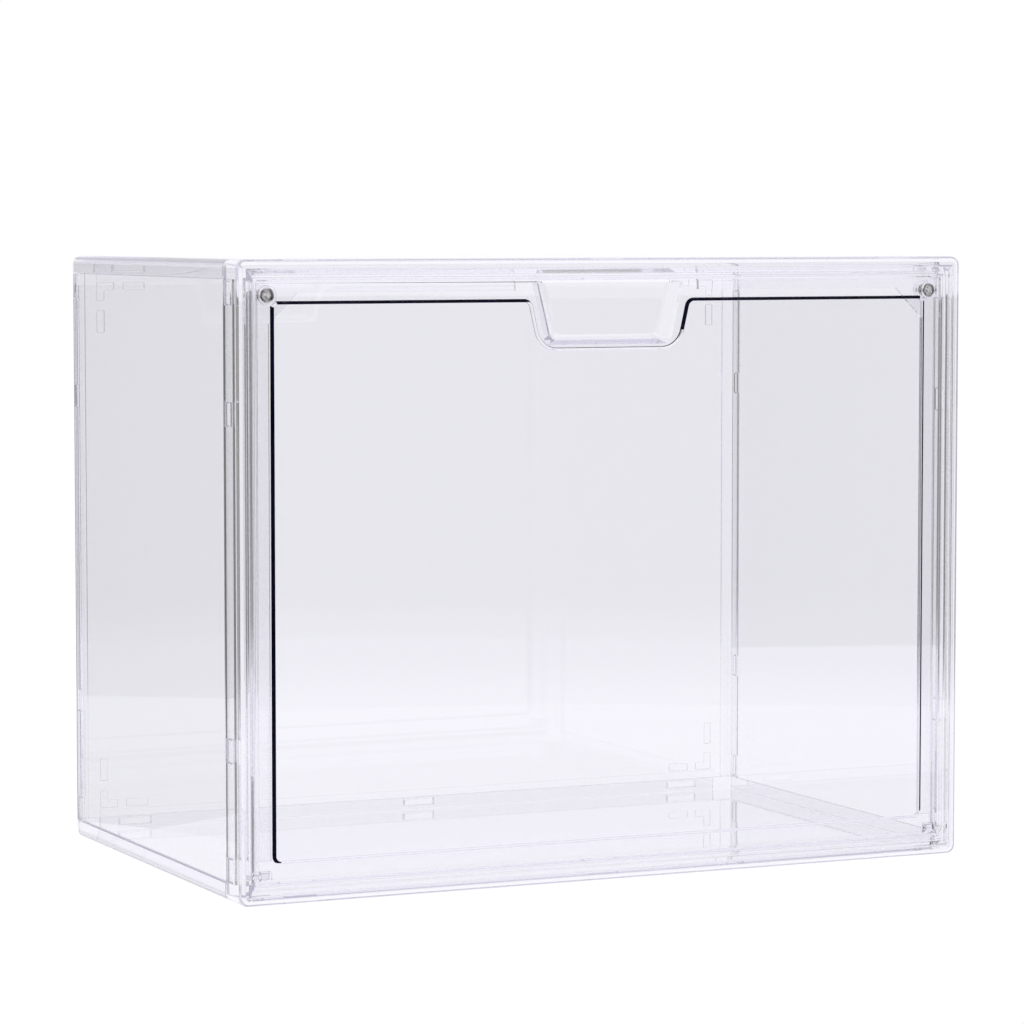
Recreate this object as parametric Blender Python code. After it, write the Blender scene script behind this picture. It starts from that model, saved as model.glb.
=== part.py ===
"""Clear drop-front shoe box: five snap-together panels, a front frame and a magnetic door.

Frame: origin at the middle of the base, +Z up, the door faces -Y. Metres.
Words used below: an "inset" is measured inwards from an outer face of the box, and a "depth"
is measured backwards from the front plane of the box.
"""

import math

import bmesh
import bpy
from mathutils import Vector

MM = 0.001

# Driving dimensions of the box
WIDTH = 346 * MM
DEPTH = 217 * MM
HEIGHT = 270 * MM
HALF = WIDTH / 2
FRONT = -DEPTH / 2
BACK = DEPTH / 2

EDGE_RADIUS = 4 * MM  # every outer edge of the box
ARC_STEPS = 5  # facets in a quarter turn
ROUND_SIDES = 32  # facets round a disc, boss or pin
GAP = 0.3 * MM  # between neighbouring pieces
PAST = 1 * MM  # how far a cutter runs past what it cuts
BITE = 0.1 * MM  # how far a joined shape stays clear of a face it would lie in

# Walls of the panels
SKIRT = 1.8 * MM  # outer lip that hides a neighbour's tongue
TONGUE_OUT = SKIRT + GAP  # inset of a tongue's outer face
TONGUE_IN = TONGUE_OUT + 1.5 * MM
RAIL = 8 * MM  # width of the rails along the box's edges
PLATE = 2.4 * MM  # thickness of the top and the bottom
SIDE_FACE = (0.8 * MM, 3.2 * MM)  # insets of a side panel's two faces
BACK_FACE = (1.0 * MM, 3.2 * MM)  # insets of the back panel's two faces
TONGUE_HALF = 160 * MM  # half length of the tongues that run along X
TONGUE_REACH = 4 * MM  # how far the back panel's tongues run onto its plate
TONGUE_ROOT = 3 * MM  # how far a tray's front tongue runs under its plate

# Front frame: (inset, depth) corners of its stepped front and of the channel behind it
FRAME_DEPTH = 19 * MM
LIP = 9.5 * MM  # inset of the wall round the door
FRAME_FRONT = ((4.5, 0), (4.5, 1.4), (6.6, 1.4), (6.6, 2.8), (8.6, 2.8), (9.5, 4.3), (9.5, 10.7))
FRAME_CHANNEL = ((7.7, 10.7), (7.7, 4.8), (6.9, 4.8), (4.7, 3.4), (3.9, 2.2), (2.8, 2.2), (1.8, 3.6))
INNER_CORNER = 0.5 * MM
STOP = (8.5 * MM, 10.7 * MM)  # depth of the lip that the door shuts against
STOP_SIDE = 16.3 * MM  # inset of its inner edge at the sides
STOP_TOP = 14 * MM  # and along the top
STOP_FOOT = 18 * MM  # height where the side lips start
STOP_BREAK = 44 * MM  # half width of the break in the upper lip, for the finger pull
GUSSET = 43.5 * MM  # sum of the insets from the side and the top, along a corner gusset's slant
GUSSET_ROOT = 2 * MM  # how far a gusset runs into the lip

# Snap hooks and their windows
HOOKS_X = (-142.5 * MM, 0.0, 142.5 * MM)
HOOKS_Z = (14 * MM, 64.5 * MM, 205.5 * MM, 256 * MM)
HOOK_X_HALF = 7.5 * MM
HOOK_Z_HALF = 4.7 * MM
WINDOW_MARGIN = 0.5 * MM
HOOK_TIP = 0.6 * MM  # inset of a hook's outer face
FRONT_WINDOW = (10.5 * MM, 17.3 * MM)  # depth
FRONT_HOOK = (11.0 * MM, 16.8 * MM)
FRONT_TONGUE = 9.8 * MM
REAR_WINDOW = (3.9 * MM, 7.6 * MM)  # inset from the back, the top or the base
REAR_HOOK = (4.4 * MM, 7.1 * MM)

# Door
DOOR_SIDE = 10 * MM  # inset of its sides and its top
DOOR_FOOT = 10 * MM
DOOR_CORNER = 1.5 * MM
FLANGE = (5.9 * MM, 8.2 * MM)  # depth of the flange's two faces
FIELD = (4.7 * MM, 7.0 * MM)  # depth of the raised field's two faces
FIELD_SIDE = 16.2 * MM  # inset of the field's sides
FIELD_FOOT = 16.7 * MM
FIELD_TOP = 252.3 * MM
FIELD_CORNER = 3.5 * MM
FIELD_ROUND = 0.9 * MM  # radius along the field's front edge
FIELD_WALL = 1.0 * MM
SCALLOP = 4.8 * MM  # radius of the field's cut-away round each magnet

# Finger pull: half widths at its top and foot, height of its foot, and radius of its corners
NOTCH = (37.4 * MM, 32.7 * MM, 231.3 * MM, 9.5 * MM)  # where the field ends round it
DISH_MOUTH = (32.3 * MM, 27.9 * MM, 234.8 * MM, 3.2 * MM)
DISH_FLOOR = (27.5 * MM, 23.4 * MM, 236.8 * MM, 2.0 * MM)
DISH_DEPTH = (9.2 * MM, 11.2 * MM)  # depth of the floor's two faces
DISH_WALL = 2.2 * MM
NOTCH_SHOULDER = 4 * MM

# Hinge
AXIS_DEPTH = 5.5 * MM
AXIS_HEIGHT = 12 * MM
PIN_RADIUS = 1.0 * MM
PIN_PLAY = 0.08 * MM
PIN = (5 * MM, 14 * MM)  # inset of its two ends
KNUCKLE_RADIUS = 2.2 * MM
KNUCKLE_END = 15 * MM

# Magnets, one pair in each upper corner
MAGNET_SIDE = 14.3 * MM
MAGNET_HEIGHT = 255 * MM
MAGNET_RADIUS = 3 * MM
BOSS_RADIUS = 4.1 * MM
DOOR_BOSS_FRONT = 4.3 * MM
DOOR_MAGNET = (5.4 * MM, 7.4 * MM)
FRAME_BOSS_BACK = 13.2 * MM
FRAME_MAGNET = (10.5 * MM, 12.5 * MM)
MAGNET_CHAMFER = 0.3 * MM

# Raised marks on the back panel: an L and two dashes in each corner
MARK_SIDE = 13.8 * MM
MARK_END = 12.6 * MM
MARK_ARM = 8.3 * MM
MARK_SPACE = 4.5 * MM
MARK_DASH = 10.3 * MM
MARK_STROKE = 3.5 * MM
MARK_TOP = 0.2 * MM  # inset of a mark's face


# ---------------------------------------------------------------- scene and materials

def clear_scene():
    for obj in list(bpy.data.objects):
        bpy.data.objects.remove(obj, do_unlink=True)


def make_material(name, colour, roughness, metallic=0.0, transmission=0.0):
    material = bpy.data.materials.new(name)
    material.use_nodes = True
    shader = material.node_tree.nodes["Principled BSDF"]
    shader.inputs["Base Color"].default_value = (*colour, 1.0)
    shader.inputs["Roughness"].default_value = roughness
    shader.inputs["Metallic"].default_value = metallic
    shader.inputs["Transmission Weight"].default_value = transmission
    return material


def make_object(name, bm, material=None, origin=(0, 0, 0)):
    """Turns bm, which is in world coordinates, into an object whose own origin is at origin."""
    bmesh.ops.recalc_face_normals(bm, faces=bm.faces)
    bmesh.ops.translate(bm, verts=bm.verts, vec=-Vector(origin))
    mesh = bpy.data.meshes.new(name)
    bm.to_mesh(mesh)
    bm.free()
    mesh.shade_smooth()
    mesh.set_sharp_from_angle(angle=math.radians(35))
    if material:
        mesh.materials.append(material)
    obj = bpy.data.objects.new(name, mesh)
    obj.location = origin
    bpy.context.scene.collection.objects.link(obj)
    return obj


def apply_tool(obj, bm, operation, name):
    """Adds the shapes in bm to obj, or cuts them out of it."""
    tool = make_object(obj.name + "_" + name, bm)
    tool.hide_render = True
    tool.display_type = "WIRE"
    modifier = obj.modifiers.new(name, "BOOLEAN")
    modifier.operation = operation
    modifier.solver = "EXACT"
    modifier.object = tool


def cut(obj, name, bm):
    apply_tool(obj, bm, "DIFFERENCE", name)


def join(obj, name, bm):
    apply_tool(obj, bm, "UNION", name)


# ---------------------------------------------------------------- basic shapes

def bridge(bm, first, second):
    for i in range(len(first)):
        k = (i + 1) % len(first)
        bm.faces.new((first[i], first[k], second[k], second[i]))


def add_prism(bm, near, far):
    """A body between two matching outlines of points in space."""
    first = [bm.verts.new(point) for point in near]
    second = [bm.verts.new(point) for point in far]
    bm.faces.new(first)
    bm.faces.new(list(reversed(second)))
    bridge(bm, first, second)


def add_box(bm, low, high):
    """A box between two opposite corners, given in any order."""
    (x0, x1), (y0, y1), (z0, z1) = (sorted(pair) for pair in zip(low, high))
    add_prism(
        bm,
        [(x0, y0, z0), (x1, y0, z0), (x1, y0, z1), (x0, y0, z1)],
        [(x0, y1, z0), (x1, y1, z0), (x1, y1, z1), (x0, y1, z1)],
    )


def boxes(*corner_pairs):
    bm = bmesh.new()
    for low, high in corner_pairs:
        add_box(bm, low, high)
    return bm


def rounded_block(low, high, is_round):
    """A box that has the box's edge radius on each edge whose middle point is_round accepts."""
    bm = boxes((low, high))
    edges = [e for e in bm.edges if is_round((e.verts[0].co + e.verts[1].co) / 2)]
    bmesh.ops.recalc_face_normals(bm, faces=bm.faces)
    bmesh.ops.bevel(
        bm, geom=edges, offset=EDGE_RADIUS, segments=ARC_STEPS, profile=0.5, affect="EDGES"
    )
    return bm


def add_cylinder(bm, start, direction, radius, length):
    """A cylinder that starts at a point and runs along a direction."""
    direction = Vector(direction)
    matrix = direction.to_track_quat("Z", "Y").to_matrix().to_4x4()
    matrix.translation = Vector(start) + direction * length / 2
    bmesh.ops.create_cone(
        bm,
        cap_ends=True,
        segments=ROUND_SIDES,
        radius1=radius,
        radius2=radius,
        depth=length,
        matrix=matrix,
    )


# ---------------------------------------------------------------- outlines, as (x, z) points

def corner_arc(before, corner, after, radius):
    """Points of the arc that rounds one corner of an outline."""
    here = Vector(corner)
    back = (Vector(before) - here).normalized()
    ahead = (Vector(after) - here).normalized()
    half = back.angle(ahead) / 2
    centre = here + (back + ahead).normalized() * radius / math.sin(half)
    start = here + back * radius / math.tan(half) - centre
    end = here + ahead * radius / math.tan(half) - centre
    sweep = math.atan2(start.x * end.y - start.y * end.x, start.dot(end))
    points = []
    for k in range(ARC_STEPS + 1):
        turn = sweep * k / ARC_STEPS
        c, s = math.cos(turn), math.sin(turn)
        points.append((centre.x + start.x * c - start.y * s, centre.y + start.x * s + start.y * c))
    return points


def rounded_polygon(corners):
    """A closed outline through corners given as (x, z, radius). A radius of 0 keeps the point."""
    points = []
    for i, (x, z, radius) in enumerate(corners):
        if radius:
            after = corners[(i + 1) % len(corners)]
            points += corner_arc(corners[i - 1][:2], (x, z), after[:2], radius)
        else:
            points.append((x, z))
    return points


def mirrored(right):
    """A whole outline from the corners of its right half, which run upwards."""
    return right + [(-x, z, radius) for x, z, radius in reversed(right)]


def rectangle(inset, radius):
    """The rounded rectangle at this inset from all four edges of the box's front."""
    x, low, high = HALF - inset, inset, HEIGHT - inset
    return rounded_polygon(mirrored([(x, low, radius), (x, high, radius)]))


def shrunk(outline, distance):
    """Moves each point of a closed outline inwards, so that every side moves by the distance."""
    points = [Vector(point) for point in outline]
    result = []
    for i, here in enumerate(points):
        back = (here - points[i - 1]).normalized()
        ahead = (points[(i + 1) % len(points)] - here).normalized()
        normal = Vector((-back.y - ahead.y, back.x + ahead.x)).normalized()
        side = Vector((-back.y, back.x))
        moved = here + normal * distance / normal.dot(side)
        result.append((moved.x, moved.y))
    return result


def door_outline():
    x = HALF - DOOR_SIDE
    high = HEIGHT - DOOR_SIDE
    return rounded_polygon(mirrored([(x, DOOR_FOOT, DOOR_CORNER), (x, high, DOOR_CORNER)]))


def field_outline(inset=0.0):
    """Foot of the door's raised field, cut away round the magnets and the finger pull.

    An inset moves every side of it inwards.
    """
    side = HALF - FIELD_SIDE
    top, foot, height, radius = NOTCH
    right = [(side, FIELD_FOOT, 0), (side, FIELD_TOP, 0), (top, FIELD_TOP, 0), (foot, height, 0)]
    moved = shrunk(rounded_polygon(mirrored(right)), inset)
    corner, (side, high), shoulder, heel = moved[:4]

    magnet_x = HALF - MAGNET_SIDE
    reach = SCALLOP + inset
    first = math.pi + math.acos((magnet_x - side) / reach)
    last = math.pi + math.asin((MAGNET_HEIGHT - high) / reach)
    scallop = []
    for k in range(ARC_STEPS + 1):
        turn = first + (last - first) * k / ARC_STEPS
        x = magnet_x + reach * math.cos(turn)
        scallop.append((x, MAGNET_HEIGHT + reach * math.sin(turn), 0))
    right = [(*corner, FIELD_CORNER - inset)] + scallop
    right += [(*shoulder, NOTCH_SHOULDER - inset), (*heel, radius + inset)]
    return rounded_polygon(mirrored(right))


def dish_outline(shape, top, margin=0.0):
    """A U-shaped outline, open-ended at height top, from a dish's (top, foot, height, radius)."""
    half_top, half_foot, low, radius = shape
    slope = (half_top - half_foot) / (FIELD_TOP - low)
    half_end = half_foot + slope * (top - low)
    corners = [(half_foot + margin, low - margin, radius), (half_end + margin, top, 0)]
    return rounded_polygon(mirrored(corners))


# ---------------------------------------------------------------- swept and lofted bodies

def add_loops(bm, loops):
    """A ring of vertices for each (outline, depth), joined into a strip. Returns the rings."""
    rings = [[bm.verts.new((x, FRONT + depth, z)) for x, z in line] for line, depth in loops]
    for first, second in zip(rings, rings[1:]):
        bridge(bm, first, second)
    return rings


def fill_between(bm, *rings):
    """Fills the flat region inside the first ring and outside the second, if there is one."""
    edges = []
    for ring in rings:
        for i in range(len(ring)):
            pair = (ring[i], ring[(i + 1) % len(ring)])
            edges.append(bm.edges.get(pair) or bm.edges.new(pair))
    bmesh.ops.triangle_fill(bm, edges=edges, use_beauty=True)


def add_loft(bm, loops):
    """A solid through the loops, closed by a flat face at each end."""
    rings = add_loops(bm, loops)
    bm.faces.new(rings[0])
    bm.faces.new(list(reversed(rings[-1])))


# ---------------------------------------------------------------- front frame

def frame_ring():
    """Outer skirt, stepped front, wall round the door, and the channel between them."""
    loops = [(rectangle(0, EDGE_RADIUS), FRAME_DEPTH)]
    for k in range(ARC_STEPS + 1):
        turn = k / ARC_STEPS * math.pi / 2
        inset = EDGE_RADIUS * (1 - math.cos(turn))
        depth = EDGE_RADIUS * (1 - math.sin(turn))
        loops.append((rectangle(inset, max(EDGE_RADIUS - inset, INNER_CORNER)), depth))
    for inset, depth in FRAME_FRONT + FRAME_CHANNEL:
        loops.append((rectangle(inset * MM, INNER_CORNER), depth * MM))
    loops.append((rectangle(SKIRT, INNER_CORNER), FRAME_DEPTH))
    bm = bmesh.new()
    rings = add_loops(bm, loops)
    bridge(bm, rings[-1], rings[0])
    return bm


def side_stops():
    """The lips that the door shuts against, down both sides."""
    near, far = FRONT + STOP[0], FRONT + STOP[1] - BITE
    root = LIP - PAST
    bm = bmesh.new()
    for side in (-1, 1):
        low_corner = (side * (HALF - root), near, STOP_FOOT)
        add_box(bm, low_corner, (side * (HALF - STOP_SIDE), far, HEIGHT - root))
    return bm


def upper_stops():
    """The lip along the top, in two halves."""
    near, far = FRONT + STOP[0] + BITE, FRONT + STOP[1] - 2 * BITE
    root = LIP - PAST + BITE
    bm = bmesh.new()
    for side in (-1, 1):
        low_corner = (side * STOP_BREAK, near, HEIGHT - STOP_TOP)
        add_box(bm, low_corner, (side * (HALF - root), far, HEIGHT - root))
    return bm


def frame_gussets():
    near, far = FRONT + STOP[0] + BITE / 2, FRONT + STOP[1] - 3 * BITE
    u, v = STOP_SIDE - GUSSET_ROOT, STOP_TOP - GUSSET_ROOT
    corners = [(u, v), (GUSSET - v, v), (u, GUSSET - u)]
    bm = bmesh.new()
    for side in (-1, 1):
        points = [(side * (HALF - u), HEIGHT - v) for u, v in corners]
        add_prism(bm, [(x, near, z) for x, z in points], [(x, far, z) for x, z in points])
    return bm


def corner_cylinders(magnet, hinge=None):
    """Cylinders at both magnets and on the hinge axis at both sides.

    magnet is (near depth, far depth, radius), hinge is (outer inset, inner inset, radius).
    """
    bm = bmesh.new()
    for side in (-1, 1):
        near, far, radius = magnet
        start = (side * (HALF - MAGNET_SIDE), FRONT + near, MAGNET_HEIGHT)
        add_cylinder(bm, start, (0, 1, 0), radius, far - near)
        if hinge:
            outer, inner, radius = hinge
            start = (side * (HALF - inner), FRONT + AXIS_DEPTH, AXIS_HEIGHT)
            add_cylinder(bm, start, (side, 0, 0), radius, inner - outer)
    return bm


def frame_windows():
    near, far = (FRONT + depth for depth in FRONT_WINDOW)
    half_x = HOOK_X_HALF + WINDOW_MARGIN
    half_z = HOOK_Z_HALF + WINDOW_MARGIN
    deep = SKIRT + GAP
    bm = bmesh.new()
    for x in HOOKS_X:
        for low, high in ((-PAST, deep), (HEIGHT - deep, HEIGHT + PAST)):
            add_box(bm, (x - half_x, near, low), (x + half_x, far, high))
    for z in HOOKS_Z:
        for side in (-1, 1):
            inner, outer = side * (HALF - deep), side * (HALF + PAST)
            add_box(bm, (inner, near, z - half_z), (outer, far, z + half_z))
    return bm


def make_front_frame(clear):
    frame = make_object("front_frame", frame_ring(), clear)
    bosses = (sum(STOP) / 2, FRAME_BOSS_BACK, BOSS_RADIUS)
    pockets = (FRAME_MAGNET[0] - GAP, FRAME_BOSS_BACK + PAST, MAGNET_RADIUS + GAP)
    sockets = (PIN[0] + PAST, LIP + PAST, PIN_RADIUS + PIN_PLAY)
    join(frame, "side_stops", side_stops())
    join(frame, "upper_stops", upper_stops())
    join(frame, "gussets", frame_gussets())
    join(frame, "bosses", corner_cylinders(bosses))
    cut(frame, "pockets", corner_cylinders(pockets, sockets))
    cut(frame, "windows", frame_windows())


# ---------------------------------------------------------------- panels

def make_tray(name, clear, is_top):
    """The top panel, or the bottom panel as its mirror image: a plate with rims on three sides."""

    def at(inset):
        return HEIGHT - inset if is_top else inset

    def is_round(middle):
        outer = abs(middle.z - at(0)) < GAP
        side = abs(abs(middle.x) - HALF) < GAP
        back = abs(middle.y - BACK) < GAP
        return outer + side + back == 2

    front = FRONT + FRAME_DEPTH + GAP
    block = rounded_block((-HALF, front, at(0)), (HALF, BACK, at(RAIL)), is_round)
    panel = make_object(name, block, clear)
    inner = HALF - SKIRT
    hollow = boxes(((-inner, front - PAST, at(PLATE)), (inner, BACK - SKIRT, at(RAIL + PAST))))
    cut(panel, "hollow", hollow)

    near, far = FRONT + FRONT_TONGUE, front + TONGUE_ROOT
    tongue = boxes(((-TONGUE_HALF, near, at(TONGUE_OUT)), (TONGUE_HALF, far, at(TONGUE_IN))))
    join(panel, "tongue", tongue)

    hooks, windows = bmesh.new(), bmesh.new()
    half = HOOK_X_HALF
    wide = HOOK_X_HALF + WINDOW_MARGIN
    for x in HOOKS_X:
        near, far = (FRONT + depth for depth in FRONT_HOOK)
        add_box(hooks, (x - half, near, at(HOOK_TIP)), (x + half, far, at(TONGUE_IN - BITE)))
        low, high = (at(inset) for inset in REAR_WINDOW)
        add_box(windows, (x - wide, BACK - SKIRT - GAP, low), (x + wide, BACK + PAST, high))
    join(panel, "hooks", hooks)
    cut(panel, "windows", windows)


def mark_outlines():
    """An L and two dashes as (inset from the side, inset from the end) corners."""
    u0, v0 = MARK_SIDE, MARK_END
    u1, v1 = u0 + MARK_STROKE, v0 + MARK_STROKE
    u2, v2 = u0 + MARK_ARM, v0 + MARK_ARM
    u3, v3 = u2 + MARK_SPACE, v2 + MARK_SPACE
    return (
        ((u0, v0), (u2, v0), (u2, v1), (u1, v1), (u1, v2), (u0, v2)),
        ((u3, v0), (u3 + MARK_DASH, v0), (u3 + MARK_DASH, v1), (u3, v1)),
        ((u0, v3), (u1, v3), (u1, v3 + MARK_DASH), (u0, v3 + MARK_DASH)),
    )


def back_marks():
    near, far = BACK - BACK_FACE[0] - GAP, BACK - MARK_TOP
    bm = bmesh.new()
    for outline in mark_outlines():
        for side in (-1, 1):
            for is_top in (False, True):
                points = [(side * (HALF - u), HEIGHT - v if is_top else v) for u, v in outline]
                add_prism(bm, [(x, near, z) for x, z in points], [(x, far, z) for x, z in points])
    return bm


def make_back_panel(clear):
    def is_round(middle):
        return abs(middle.y - BACK) < GAP and abs(abs(middle.x) - HALF) < GAP

    low, high = RAIL + GAP, HEIGHT - RAIL - GAP
    block = rounded_block((-HALF, BACK - RAIL, low), (HALF, BACK, high), is_round)
    panel = make_object("back_panel", block, clear)
    inner, field = HALF - SKIRT, HALF - RAIL
    front = BACK - RAIL - PAST
    hollow = boxes(
        ((-inner, front, low - PAST), (inner, BACK - BACK_FACE[1], high + PAST)),
        ((-field, BACK - BACK_FACE[0], low - PAST), (field, BACK + PAST, high + PAST)),
    )
    cut(panel, "hollow", hollow)

    tongues, hooks = bmesh.new(), bmesh.new()
    near, far = BACK - TONGUE_IN, BACK - TONGUE_OUT
    for is_top in (False, True):
        start, end = PLATE + GAP, RAIL + TONGUE_REACH
        hook = REAR_HOOK
        if is_top:
            start, end = HEIGHT - start, HEIGHT - end
            hook = [HEIGHT - inset for inset in REAR_HOOK]
        add_box(tongues, (-TONGUE_HALF, near, start), (TONGUE_HALF, far, end))
        for x in HOOKS_X:
            low_corner = (x - HOOK_X_HALF, near + BITE, hook[0])
            add_box(hooks, low_corner, (x + HOOK_X_HALF, BACK - HOOK_TIP, hook[1]))
    join(panel, "tongues", tongues)
    join(panel, "hooks", hooks)

    windows = bmesh.new()
    half = HOOK_Z_HALF + WINDOW_MARGIN
    far, near = (BACK - inset for inset in REAR_WINDOW)
    for z in HOOKS_Z:
        for side in (-1, 1):
            deep, past = side * (HALF - SKIRT - GAP), side * (HALF + PAST)
            add_box(windows, (deep, near, z - half), (past, far, z + half))
    cut(panel, "windows", windows)
    join(panel, "marks", back_marks())


def make_side_panel(name, clear, side):
    def at(inset):
        return side * (HALF - inset)

    front, back = FRONT + FRAME_DEPTH + GAP, BACK - RAIL - GAP
    low, high = RAIL + GAP, HEIGHT - RAIL - GAP
    plate = boxes(((at(SIDE_FACE[0]), front, low), (at(SIDE_FACE[1]), back, high)))
    panel = make_object(name, plate, clear)

    foot, rear, tip = PLATE + GAP, BACK - BACK_FACE[1] - GAP, FRONT + FRONT_TONGUE
    corners = [
        (front, foot),
        (rear, foot),
        (rear, HEIGHT - foot),
        (front, HEIGHT - foot),
        (front, high - BITE),
        (tip, high - BITE),
        (tip, low + BITE),
        (front, low + BITE),
    ]
    tongue = bmesh.new()
    near, far = at(TONGUE_OUT), at(SIDE_FACE[1] - BITE)
    add_prism(tongue, [(near, y, z) for y, z in corners], [(far, y, z) for y, z in corners])
    join(panel, "tongue", tongue)

    hooks = bmesh.new()
    front_hook = [FRONT + depth for depth in FRONT_HOOK]
    rear_hook = [BACK - inset for inset in REAR_HOOK]
    for depths in (front_hook, rear_hook):
        for z in HOOKS_Z:
            low_corner = (at(HOOK_TIP), depths[0], z - HOOK_Z_HALF)
            add_box(hooks, low_corner, (at(SIDE_FACE[1] - 2 * BITE), depths[1], z + HOOK_Z_HALF))
    join(panel, "hooks", hooks)


# ---------------------------------------------------------------- door

def door_shell():
    """Flange, rounded step and raised field, with the same recess behind."""
    edge = door_outline()
    foot = field_outline()
    recess = field_outline(FIELD_WALL)
    step = []
    for k in range(ARC_STEPS + 1):
        turn = k / ARC_STEPS * math.pi / 2
        inset = FIELD_ROUND * (1 - math.cos(turn))
        step.append((field_outline(inset), FIELD[0] + FIELD_ROUND * (1 - math.sin(turn))))
    bm = bmesh.new()
    rim = add_loops(bm, [(edge, FLANGE[0]), (edge, FLANGE[1])])
    front = add_loops(bm, [(foot, FLANGE[0])] + step)
    back = add_loops(bm, [(recess, FLANGE[1]), (recess, FIELD[1])])
    fill_between(bm, rim[0], front[0])
    fill_between(bm, front[-1])
    fill_between(bm, rim[1], back[0])
    fill_between(bm, back[1])
    return bm


def dish_body():
    """Outside of the finger pull, behind the door."""
    top = HEIGHT - DOOR_SIDE - BITE
    start = sum(FLANGE) / 2
    bm = bmesh.new()
    mouth = dish_outline(DISH_MOUTH, top, DISH_WALL)
    floor = dish_outline(DISH_FLOOR, top, DISH_WALL)
    add_loft(bm, [(mouth, start), (mouth, FLANGE[1]), (floor, DISH_DEPTH[1])])
    return bm


def dish_hollow():
    top = HEIGHT - DOOR_SIDE + PAST
    bm = bmesh.new()
    mouth = dish_outline(DISH_MOUTH, top)
    floor = dish_outline(DISH_FLOOR, top)
    add_loft(bm, [(mouth, FIELD[0] - PAST), (mouth, FLANGE[0]), (floor, DISH_DEPTH[0])])
    return bm


def make_door(clear):
    axis = (0, FRONT + AXIS_DEPTH, AXIS_HEIGHT)
    door = make_object("door", door_shell(), clear, origin=axis)
    bosses = (DOOR_BOSS_FRONT, sum(FLANGE) / 2, BOSS_RADIUS)
    knuckles = (DOOR_SIDE + BITE, KNUCKLE_END, KNUCKLE_RADIUS)
    pockets = (DOOR_MAGNET[0] - GAP, FLANGE[1] + PAST, MAGNET_RADIUS + GAP)
    holes = (DOOR_SIDE - PAST, PIN[1] + GAP, PIN_RADIUS + PIN_PLAY)
    join(door, "dish", dish_body())
    cut(door, "dish_hollow", dish_hollow())
    join(door, "bosses_and_knuckles", corner_cylinders(bosses, knuckles))
    cut(door, "pockets_and_holes", corner_cylinders(pockets, holes))


# ---------------------------------------------------------------- magnets and pins

def make_turned(name, start, direction, radius, length, material):
    """A disc or a pin with chamfered ends. Its own origin is at its start."""
    bm = bmesh.new()
    add_cylinder(bm, start, direction, radius, length)
    rims = [e for e in bm.edges if any(len(f.verts) > 4 for f in e.link_faces)]
    bmesh.ops.bevel(bm, geom=rims, offset=MAGNET_CHAMFER, segments=1, affect="EDGES")
    make_object(name, bm, material, origin=start)


def make_magnets_and_pins(clear, nickel):
    for word, side in (("left", -1), ("right", 1)):
        x = side * (HALF - MAGNET_SIDE)
        for owner, (near, far) in (("door", DOOR_MAGNET), ("frame", FRAME_MAGNET)):
            start = (x, FRONT + near, MAGNET_HEIGHT)
            name = owner + "_magnet_" + word
            make_turned(name, start, (0, 1, 0), MAGNET_RADIUS, far - near, nickel)
        start = (side * (HALF - PIN[1]), FRONT + AXIS_DEPTH, AXIS_HEIGHT)
        make_turned("hinge_pin_" + word, start, (side, 0, 0), PIN_RADIUS, PIN[1] - PIN[0], clear)


def main():
    clear_scene()
    clear = make_material("clear_plastic", (0.93, 0.93, 0.96), 0.05, transmission=1.0)
    nickel = make_material("nickel", (0.75, 0.73, 0.70), 0.2, metallic=1.0)
    make_front_frame(clear)
    make_tray("top_panel", clear, is_top=True)
    make_tray("bottom_panel", clear, is_top=False)
    make_back_panel(clear)
    make_side_panel("left_panel", clear, -1)
    make_side_panel("right_panel", clear, 1)
    make_door(clear)
    make_magnets_and_pins(clear, nickel)


main()
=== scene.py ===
"""Looks of the clear drop-front shoe box: fine-edged pieces, clear plastic, nickel and a light table.

Frame: origin at the middle of the base, +Z up, the door faces -Y. Metres. An "inset" is measured
inwards from an outer face of the box, and a "depth" backwards from its front plane.
"""

import math

import bmesh
import bpy
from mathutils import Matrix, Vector


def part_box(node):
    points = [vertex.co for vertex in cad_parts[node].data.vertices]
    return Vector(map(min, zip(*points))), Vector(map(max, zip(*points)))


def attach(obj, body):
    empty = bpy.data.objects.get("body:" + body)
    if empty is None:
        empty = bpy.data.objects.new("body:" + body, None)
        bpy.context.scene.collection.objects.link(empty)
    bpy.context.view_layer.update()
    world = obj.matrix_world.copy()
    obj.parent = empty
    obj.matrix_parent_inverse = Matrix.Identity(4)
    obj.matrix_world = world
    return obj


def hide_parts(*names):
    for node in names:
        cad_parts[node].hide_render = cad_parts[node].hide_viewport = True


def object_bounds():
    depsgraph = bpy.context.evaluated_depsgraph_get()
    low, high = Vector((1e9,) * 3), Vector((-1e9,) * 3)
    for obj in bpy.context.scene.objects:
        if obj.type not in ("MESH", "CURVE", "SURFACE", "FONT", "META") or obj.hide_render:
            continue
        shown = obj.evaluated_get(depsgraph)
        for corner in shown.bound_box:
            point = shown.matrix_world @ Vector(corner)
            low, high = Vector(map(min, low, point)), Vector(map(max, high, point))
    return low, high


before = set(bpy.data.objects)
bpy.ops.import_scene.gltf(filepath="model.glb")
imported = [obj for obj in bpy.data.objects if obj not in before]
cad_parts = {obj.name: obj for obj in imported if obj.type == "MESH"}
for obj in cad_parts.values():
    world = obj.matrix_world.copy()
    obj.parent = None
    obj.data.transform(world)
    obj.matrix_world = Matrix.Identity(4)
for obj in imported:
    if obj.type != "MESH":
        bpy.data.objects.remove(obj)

MM = 0.001
cad_low, cad_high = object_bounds()

# The box, from the CAD model
WIDTH = cad_high.x - cad_low.x
HEIGHT = cad_high.z - cad_low.z
HALF = WIDTH / 2
FRONT = cad_low.y
BACK = cad_high.y

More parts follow.
